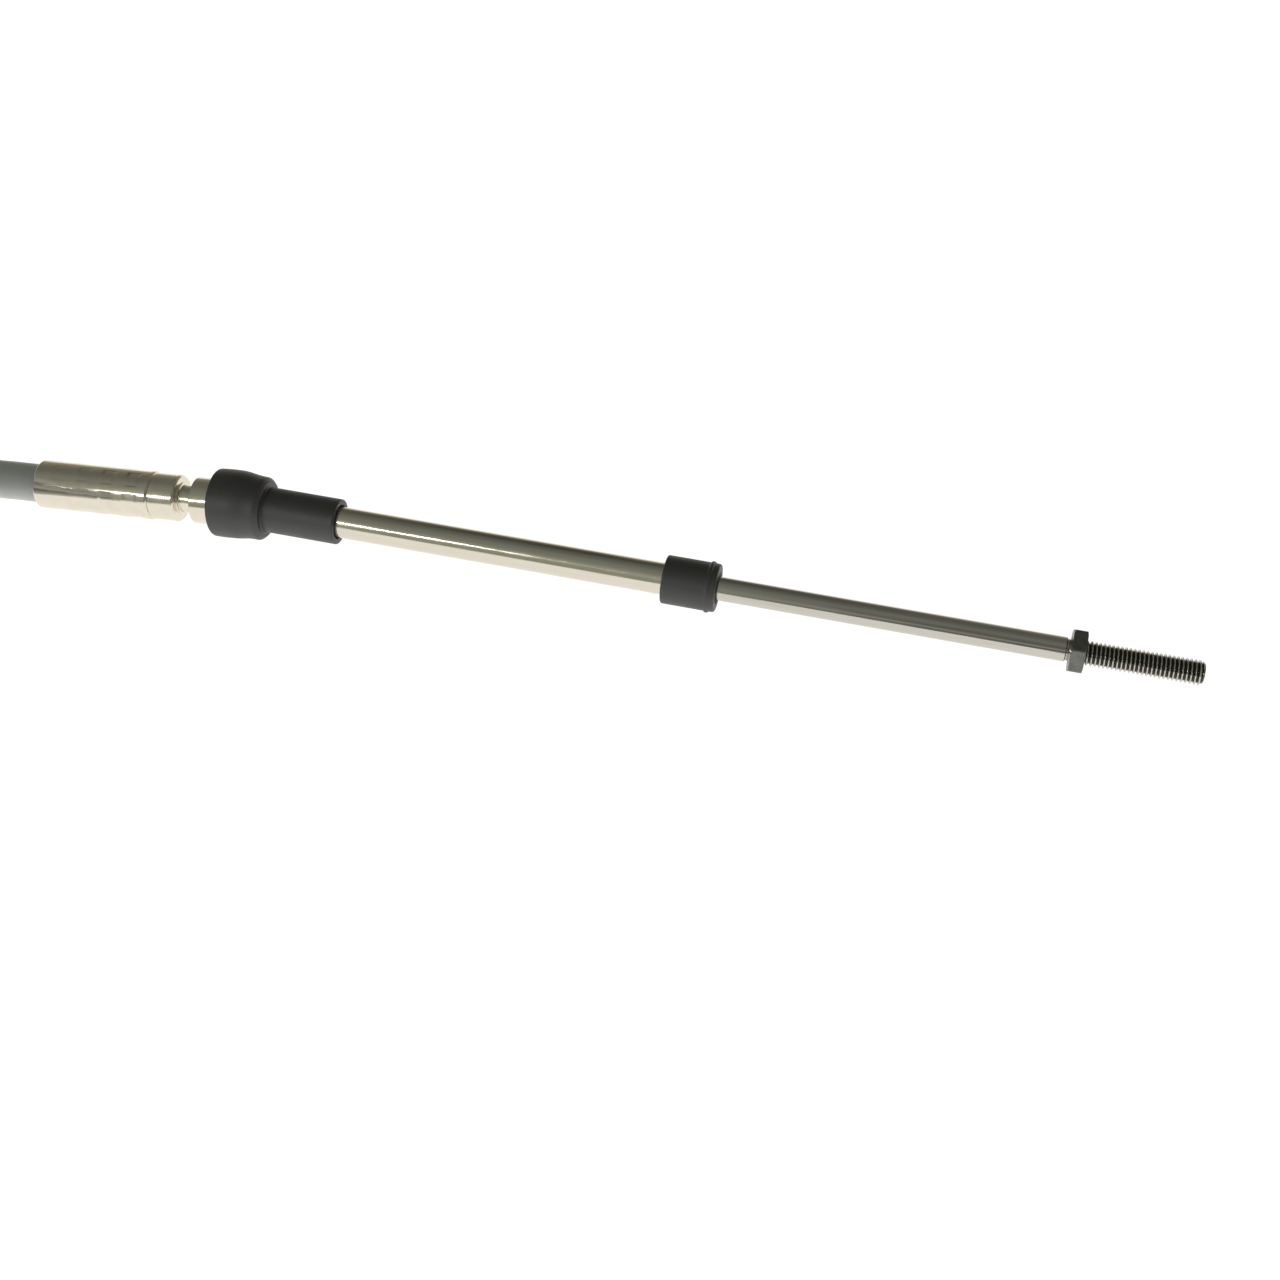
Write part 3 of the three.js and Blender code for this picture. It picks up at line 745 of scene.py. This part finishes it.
def hub_outline():
    start = -HUB_LENGTH / MM
    crimp_end = start + CRIMP_LENGTH
    plain_start = crimp_end + SCORE_WIDTH
    plain_end = plain_start + PLAIN_LENGTH
    groove_end = plain_end + GROOVE_WIDTH
    collar_end = groove_end + COLLAR_LENGTH
    hole_end = start + CONDUIT_HOLE_DEPTH
    outline = [
        (start, CRIMP_R, 0.75),
        (crimp_end - 0.3, CRIMP_R, 0.1),
        (crimp_end, SCORE_SIDE_R, 0.05),
        (crimp_end + 0.1, SCORE_R, 0.05),
        (plain_start, SCORE_R, 0.05),
        (plain_start, PLAIN_R, 0.12),
        (plain_end - PLAIN_BEVEL, PLAIN_R, 0.1),
        (plain_end, PLAIN_R - PLAIN_BEVEL, 0.1),
        (plain_end, GROOVE_R + GROOVE_FILLET, 0.1),
        (plain_end + 0.25, GROOVE_R + GROOVE_FILLET, 0.1),
        (plain_end + GROOVE_FILLET, GROOVE_R, 0.1),
        (groove_end, GROOVE_R, 0.15),
        (groove_end, COLLAR_R, 0.2),
        (collar_end, COLLAR_R, 0.05),
        (collar_end, BALL_HOUSING_R, 0.1),
        (BALL_HOUSING_MOUTH, BALL_HOUSING_R, 0.1),
        (BALL_HOUSING_MOUTH, BALL_HOUSING_MOUTH_R, 0.05),
        *arc(BALL_ROOM_R, 2.0, -3.99),
        (hole_end, CORE_BORE_R, 0.05),
        (hole_end, CONDUIT_HOLE_R, 0.05),
        (start, CONDUIT_MOUTH_R, 0.2),
    ]
    return filled_in(rounded(outline), start, crimp_end + 0.01, CRIMP_RING_STEP)


def dented(along, radius, angle):
    """The hub's radius with its crimping dents."""
    if radius <= SCORE_R:
        return radius
    from_start = along + HUB_LENGTH / MM
    for ring, (middle, depth) in enumerate(zip(DENT_RINGS, DENT_DEPTHS)):
        from_end = DENT_LENGTH / 2 - abs(from_start - middle)
        lengthwise = smooth(from_end, -DENT_END / 2, DENT_END / 2)
        if lengthwise <= 0:
            continue
        pitch = 2 * math.pi / DENTS_ROUND
        off = (angle - DENT_TURN + pitch / 2) % pitch - pitch / 2
        reach = (DENT_WIDTH / 2 - abs(off)) * radius
        sidewise = smooth(reach, -DENT_EDGE / 2, DENT_EDGE / 2)
        return radius - depth * lengthwise * sidewise
    return radius


PLATE_WARM = (0.77, 0.71, 0.605)
PLATE_COOL = (0.70, 0.66, 0.57)
plated_finish, tree, shader = new_finish("bright plating", Metallic=1.0)
lines = add_group(tree, lines_group, Grain=(14.0, 0.25, 0.25), Depth=0.08)
patches = add_group(tree, patches_group, Size=2.5)
tree.links.new(blended(tree, patches.outputs["Patches"], PLATE_COOL, PLATE_WARM),
               shader.inputs["Base Color"])
tree.links.new(ranged(tree, patches.outputs["Patches"], 0.1, 0.2), shader.inputs["Roughness"])
tree.links.new(lines.outputs["Normal"], shader.inputs["Normal"])

for end in pivots:
    hub = turned_piece(end + "_crimped_hub", hub_outline(), hub_frames[end], HUB_SEGMENTS,
                       plated_finish, dented)
    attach(hub, "cable")
    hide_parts(end + "_hub")

# Boots. Each is moulded in black rubber: a bell that snaps over the hub's swivel, and a sleeve
# that grips the tube. The bell bends when the tube swings; here it is built in one bent pose.
BOOT_SEGMENTS = 96
RIM_AT = -4.6
RIM_R = 6.9
RIM_LIP_R = 5.3
BELL_BELLY_R = 7.0
BELL_MIDDLE_R = 6.95
BELL_WAIST_R = 6.5
BELL_END_R = 6.45
BELL_SHOULDER_R = 5.7
BELL_INNER_R = 5.8
SHOULDER_AT = 6.3
SLEEVE_LENGTH = 15.4
SLEEVE_R = 4.6
SLEEVE_BORE_R = 3.45
RUBBER_DARK = (0.023, 0.023, 0.025)
RUBBER_LIGHT = (0.033, 0.033, 0.036)
rubber_finish, tree, shader = new_finish("black rubber", Specular_IOR_Level=0.8)
patches = add_group(tree, patches_group, Size=4.0)
lines = add_group(tree, lines_group, Grain=(2.5, 2.5, 2.5), Depth=0.22)
tree.links.new(blended(tree, patches.outputs["Patches"], RUBBER_DARK, RUBBER_LIGHT),
               shader.inputs["Base Color"])
tree.links.new(ranged(tree, patches.outputs["Patches"], 0.46, 0.58), shader.inputs["Roughness"])
tree.links.new(lines.outputs["Normal"], shader.inputs["Normal"])


def boot_outline():
    """The bell from its rim over the shoulder, the sleeve, and back along the inside."""
    sleeve_end = SHOULDER_AT + SLEEVE_LENGTH
    return rounded([
        (RIM_AT, RIM_R, 0.5),
        (RIM_AT + 2.4, BELL_BELLY_R, 1.0),
        (RIM_AT + 5.4, BELL_MIDDLE_R, 1.6),
        (RIM_AT + 8.0, BELL_WAIST_R, 0.9),
        (SHOULDER_AT - 0.8, BELL_END_R, 0.3),
        (SHOULDER_AT, BELL_SHOULDER_R, 0.25),
        (SHOULDER_AT, SLEEVE_R, 0.3),
        (sleeve_end, SLEEVE_R, 0.3),
        (sleeve_end, SLEEVE_BORE_R, 0.25),
        (4.0, SLEEVE_BORE_R, 0.1),
        (3.6, BELL_INNER_R, 0.3),
        (RIM_AT + 1.0, BELL_INNER_R, 0.1),
        (RIM_AT + 1.0, RIM_LIP_R, 0.1),
        (RIM_AT, RIM_LIP_R, 0.3),
    ])


for end in pivots:
    boot = turned_piece(end + "_rubber_boot", boot_outline(), line_frames[end], BOOT_SEGMENTS,
                        rubber_finish, rear=hub_frames[end])
    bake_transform(boot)
    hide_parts(end + "_boot")

# Support tubes. Drawn stainless tube, ground smooth, with the swivel's ball formed on its inner
# end. The push rod slides in its bore.
TUBE_SEGMENTS = 96
TUBE_R = 3.175
TUBE_BORE = 2.63
TUBE_END = 96.0
BALL_R = 4.0
FLAT_AFTER_BALL = 0.2  # an extra ring, so that the ball's bend stays off the straight tube
STEEL_WARM = (0.70, 0.66, 0.575)
STEEL_COOL = (0.65, 0.615, 0.54)
steel_finish, tree, shader = new_finish("ground stainless", Metallic=1.0)
lines = add_group(tree, lines_group, Grain=(0.06, 4.0, 4.0), Depth=0.06)
patches = add_group(tree, patches_group, Size=7.0)
tree.links.new(blended(tree, lines.outputs["Lines"], STEEL_COOL, STEEL_WARM),
               shader.inputs["Base Color"])
tree.links.new(ranged(tree, patches.outputs["Patches"], 0.1, 0.2), shader.inputs["Roughness"])
tree.links.new(lines.outputs["Normal"], shader.inputs["Normal"])

ball_start = -math.sqrt(BALL_R ** 2 - TUBE_BORE ** 2)
ball_end = math.sqrt(BALL_R ** 2 - TUBE_R ** 2)
tube_outline = rounded([
    *arc(BALL_R, ball_start, ball_end),
    (ball_end + FLAT_AFTER_BALL, TUBE_R, 0.0),
    (TUBE_END, TUBE_R, 0.15),
    (TUBE_END, TUBE_BORE, 0.1),
])
for end in pivots:
    tube = turned_piece(end + "_support_tube", tube_outline, line_frames[end], TUBE_SEGMENTS,
                        steel_finish)
    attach(tube, end + "_support")
    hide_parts(end + "_tube")

# Wiper seals. Each is a moulded rubber cap on the end of the tube, with a bead round it and an
# inner lip that wipes the rod.
WIPER_START = 89.0
WIPER_END = WIPER_START + 10.66
WIPER_R = 4.8
WIPER_END_R = 4.75
WIPER_BORE_R = 3.25
BEAD_AT = WIPER_END - 1.6
BEAD_R = 5.08
BEAD_FOOT = 0.5
BEAD_TOP = 0.25
LIP_SUNK = 0.7
LIP_R = 2.46
LIP_CONE_R = 2.75
LIP_MOUTH_R = 3.3
GAP_TO_TUBE = 0.3


def wiper_outline():
    """The cap from its open end over the bead, and back past the lip inside."""
    return rounded([
        (WIPER_START, WIPER_R, 0.3),
        (BEAD_AT - BEAD_FOOT, WIPER_R, 0.1),
        (BEAD_AT - BEAD_TOP, BEAD_R, 0.15),
        (BEAD_AT + BEAD_TOP, BEAD_R, 0.15),
        (BEAD_AT + BEAD_FOOT, WIPER_R, 0.1),
        (WIPER_END, WIPER_END_R, 0.5),
        (WIPER_END, LIP_MOUTH_R, 0.15),
        (WIPER_END - LIP_SUNK, LIP_CONE_R, 0.1),
        (WIPER_END - LIP_SUNK, LIP_R, 0.05),
        (TUBE_END + GAP_TO_TUBE, LIP_R, 0.05),
        (TUBE_END + GAP_TO_TUBE, WIPER_BORE_R, 0.05),
        (WIPER_START, WIPER_BORE_R, 0.2),
    ])


for end in pivots:
    wiper = turned_piece(end + "_rod_wiper", wiper_outline(), line_frames[end], BOOT_SEGMENTS,
                         rubber_finish)
    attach(wiper, end + "_support")
    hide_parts(end + "_wiper_seal")

# Push rods. Ground stainless rod with a thread rolled on its last inch, 0.794 mm a turn, and a
# small chamfer at each end.
ROD_R = 2.38
ROD_LENGTH = 94.76
THREAD_R = 2.41
THREAD_ROOT = 1.93
THREAD_PITCH = 0.794
THREAD_LENGTH = 25.4
THREAD_START = 0.7
THREAD_RUN_IN = (-0.3, 0.7)
SHOULDER_STEP = 0.28  # by which the rod narrows before its thread
TIP_CHAMFER = 0.6
TIP_R = 1.5
TIP_DIMPLE_R = 1.2
TIP_DIMPLE_DEPTH = 0.12
INNER_CHAMFER = 0.5
INNER_END_R = 1.8
ROD_SEGMENTS = 64
RINGS_PER_TURN = 12


def thread_radius(along, angle):
    """The rolled thread: round crests and roots on one right-hand helix."""
    turn_ = (along / THREAD_PITCH - angle / (2 * math.pi)) % 1.0
    from_crest = abs(turn_ - 0.5) * 2
    depth = THREAD_R - THREAD_ROOT
    flank = THREAD_R - depth * (1 - smooth(1 - from_crest, 0.12, 0.86))
    run_in = smooth(along, THREAD_START + THREAD_RUN_IN[0], THREAD_START + THREAD_RUN_IN[1])
    full = ROD_R - SHOULDER_STEP + (flank - ROD_R + SHOULDER_STEP) * run_in
    tip_limit = THREAD_R - max(0.0, along - (THREAD_LENGTH - TIP_CHAMFER))
    return min(full, tip_limit)


def rod_piece(name, at, finish):
    """A rod as rings: its inner end, the shoulder, the thread (None) and the dimpled tip."""
    inner = -ROD_LENGTH
    outline = [(inner, 0.001), (inner, INNER_END_R), (inner + INNER_CHAMFER, ROD_R),
               (inner + INNER_CHAMFER + 0.1, ROD_R), (-0.35, ROD_R), (-0.2, ROD_R),
               (-0.1, ROD_R - 0.05), (0.0, ROD_R - SHOULDER_STEP)]
    rings = round((THREAD_LENGTH - 0.1) / THREAD_PITCH * RINGS_PER_TURN)
    outline += [(0.1 + (THREAD_LENGTH - 0.1) * i / rings, None) for i in range(rings + 1)]
    outline += [(THREAD_LENGTH, TIP_R), (THREAD_LENGTH, TIP_DIMPLE_R),
                (THREAD_LENGTH - TIP_DIMPLE_DEPTH, 0.001)]
    points = []
    places = []
    for along, radius in outline:
        for j in range(ROD_SEGMENTS):
            angle = 2 * math.pi * j / ROD_SEGMENTS
            r = thread_radius(along, angle) if radius is None else radius
            local = Vector((along, r * math.cos(angle), r * math.sin(angle)))
            places.append(tuple(local))
            points.append(at @ (local * MM))
    faces = [tuple(reversed(f)) for f in grid_faces(len(outline), ROD_SEGMENTS)]
    first = tuple(range(ROD_SEGMENTS))
    last = tuple(reversed(range(len(points) - ROD_SEGMENTS, len(points))))
    return mesh_piece(name, points, faces + [first, last], places, finish)


ROD_DARK = (0.50, 0.485, 0.445)
ROD_LIGHT = (0.60, 0.58, 0.53)
# Painted shade: a near-black colour laid into the roots of the thread, where shade falls in the
# grooves.
ROOT_SHADE_PAINT = (0.05, 0.048, 0.042)
rod_finish, tree, shader = new_finish("rod stainless", Metallic=1.0)
lines = add_group(tree, lines_group, Grain=(0.05, 5.0, 5.0), Depth=0.1)
patches = add_group(tree, patches_group, Size=5.0)
thread_place = add_node(tree, "ShaderNodeAttribute", attribute_name="place")
thread_parts = add_node(tree, "ShaderNodeSeparateXYZ", {"Vector": thread_place.outputs["Vector"]})
squares = [add_node(tree, "ShaderNodeMath", {0: thread_parts.outputs[axis], 1: 2.0},
                    operation="POWER") for axis in ("Y", "Z")]
square_sum = add_node(tree, "ShaderNodeMath", {
    0: squares[0].outputs["Value"], 1: squares[1].outputs["Value"]}, operation="ADD")
thread_r = add_node(tree, "ShaderNodeMath", {0: square_sum.outputs["Value"], 1: 0.5},
                    operation="POWER")
# Painted shade mask: darker the deeper a point lies in the thread's roots, on the threaded part
# only.
in_root = add_node(tree, "ShaderNodeMapRange", {
    "Value": thread_r.outputs["Value"], "From Min": THREAD_ROOT, "From Max": THREAD_R - 0.08,
    "To Min": 1.0, "To Max": 0.0})
on_thread = add_node(tree, "ShaderNodeMapRange", {
    "Value": thread_parts.outputs["X"], "From Min": 0.0, "From Max": 0.3})
root_shade_mask = add_node(tree, "ShaderNodeMath", {
    0: in_root.outputs["Result"], 1: on_thread.outputs["Result"]}, operation="MULTIPLY")
steel_colour = blended(tree, lines.outputs["Lines"], ROD_DARK, ROD_LIGHT)
tree.links.new(add_mix(tree, root_shade_mask.outputs["Value"], steel_colour, (*ROOT_SHADE_PAINT, 1)),
               shader.inputs["Base Color"])
tree.links.new(ranged(tree, patches.outputs["Patches"], 0.08, 0.15), shader.inputs["Roughness"])
tree.links.new(lines.outputs["Normal"], shader.inputs["Normal"])

rod_frames = {}
for end in pivots:
    tip = Vector(mounts[end + "_tip"]["pos_m"])
    shoulder = line_frames[end].inverted() @ tip - Vector((THREAD_LENGTH * MM, 0, 0))
    rod_frames[end] = line_frames[end] @ Matrix.Translation((shoulder.x, 0, 0))
    rod = rod_piece(end + "_push_rod_steel", rod_frames[end], rod_finish)
    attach(rod, end + "_push_rod")
    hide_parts(end + "_rod")

# Jam nuts. Thin hexagon nuts of dark satin steel, with coned corners on both faces, run up to the
# start of the thread.
NUT_FLATS = 7.94
NUT_THICKNESS = 2.7
NUT_STANDOFF = 0.75
NUT_TURN = math.radians(17.4)
NUT_FACE_R = 4.2
NUT_FACE_EDGE_R = 3.3
NUT_BORE_R = 2.46
NUT_BORE_CHAMFER = 0.25
NUT_CORNER_OFF = 0.06
NUT_CONE = math.radians(30)
NUT_SHARP = math.radians(12)
NUT_SEGMENTS = 144


def nut_piece(name, at, finish):
    """A hexagon nut as rings round its outline, each a function of the angle."""
    def flat_radius(angle):
        off = (angle - NUT_TURN) % (math.pi / 3) - math.pi / 6
        corner = NUT_FLATS / 2 / math.cos(math.pi / 6) - NUT_CORNER_OFF
        return min(NUT_FLATS / 2 / math.cos(off), corner)

    def cone(angle):
        return max(0.0, flat_radius(angle) - NUT_FACE_R) * math.tan(NUT_CONE)

    def face_radius(angle):
        return min(NUT_FACE_R, flat_radius(angle))

    rows = (
        lambda a: (0.0, NUT_BORE_R + NUT_BORE_CHAMFER),
        lambda a: (0.0, NUT_FACE_EDGE_R),
        lambda a: (0.0, face_radius(a) - 0.08),
        lambda a: (0.02, face_radius(a) - 0.02),
        lambda a: (0.05 + cone(a), flat_radius(a)),
        lambda a: (0.15 + cone(a), flat_radius(a)),
        lambda a: (NUT_THICKNESS - 0.15 - cone(a), flat_radius(a)),
        lambda a: (NUT_THICKNESS - 0.05 - cone(a), flat_radius(a)),
        lambda a: (NUT_THICKNESS - 0.02, face_radius(a) - 0.02),
        lambda a: (NUT_THICKNESS, face_radius(a) - 0.08),
        lambda a: (NUT_THICKNESS, NUT_FACE_EDGE_R),
        lambda a: (NUT_THICKNESS, NUT_BORE_R + NUT_BORE_CHAMFER),
        lambda a: (NUT_THICKNESS - NUT_BORE_CHAMFER, NUT_BORE_R),
        lambda a: (NUT_BORE_CHAMFER, NUT_BORE_R),
    )
    points = []
    places = []
    for row in rows:
        for j in range(NUT_SEGMENTS):
            angle = 2 * math.pi * j / NUT_SEGMENTS
            along, r = row(angle)
            local = Vector((along, r * math.cos(angle), r * math.sin(angle)))
            places.append(tuple(local))
            points.append(at @ (local * MM))
    faces = [tuple(reversed(f)) for f in grid_faces(len(rows), NUT_SEGMENTS, close_rows=True)]
    return mesh_piece(name, points, faces, places, finish, NUT_SHARP)


NUT_DARK = (0.13, 0.131, 0.126)
NUT_LIGHT = (0.20, 0.201, 0.192)
nut_finish, tree, shader = new_finish("dark satin steel", Metallic=1.0)
lines = add_group(tree, lines_group, Grain=(3.0, 3.0, 3.0), Depth=0.2)
patches = add_group(tree, patches_group, Size=1.5)
tree.links.new(blended(tree, patches.outputs["Patches"], NUT_DARK, NUT_LIGHT),
               shader.inputs["Base Color"])
tree.links.new(ranged(tree, patches.outputs["Patches"], 0.3, 0.42), shader.inputs["Roughness"])
tree.links.new(lines.outputs["Normal"], shader.inputs["Normal"])

for end in pivots:
    nut_at = rod_frames[end] @ Matrix.Translation((NUT_STANDOFF * MM, 0, 0))
    nut = nut_piece(end + "_hex_nut", nut_at, nut_finish)
    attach(nut, end + "_nut")
    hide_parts(end + "_jam_nut")
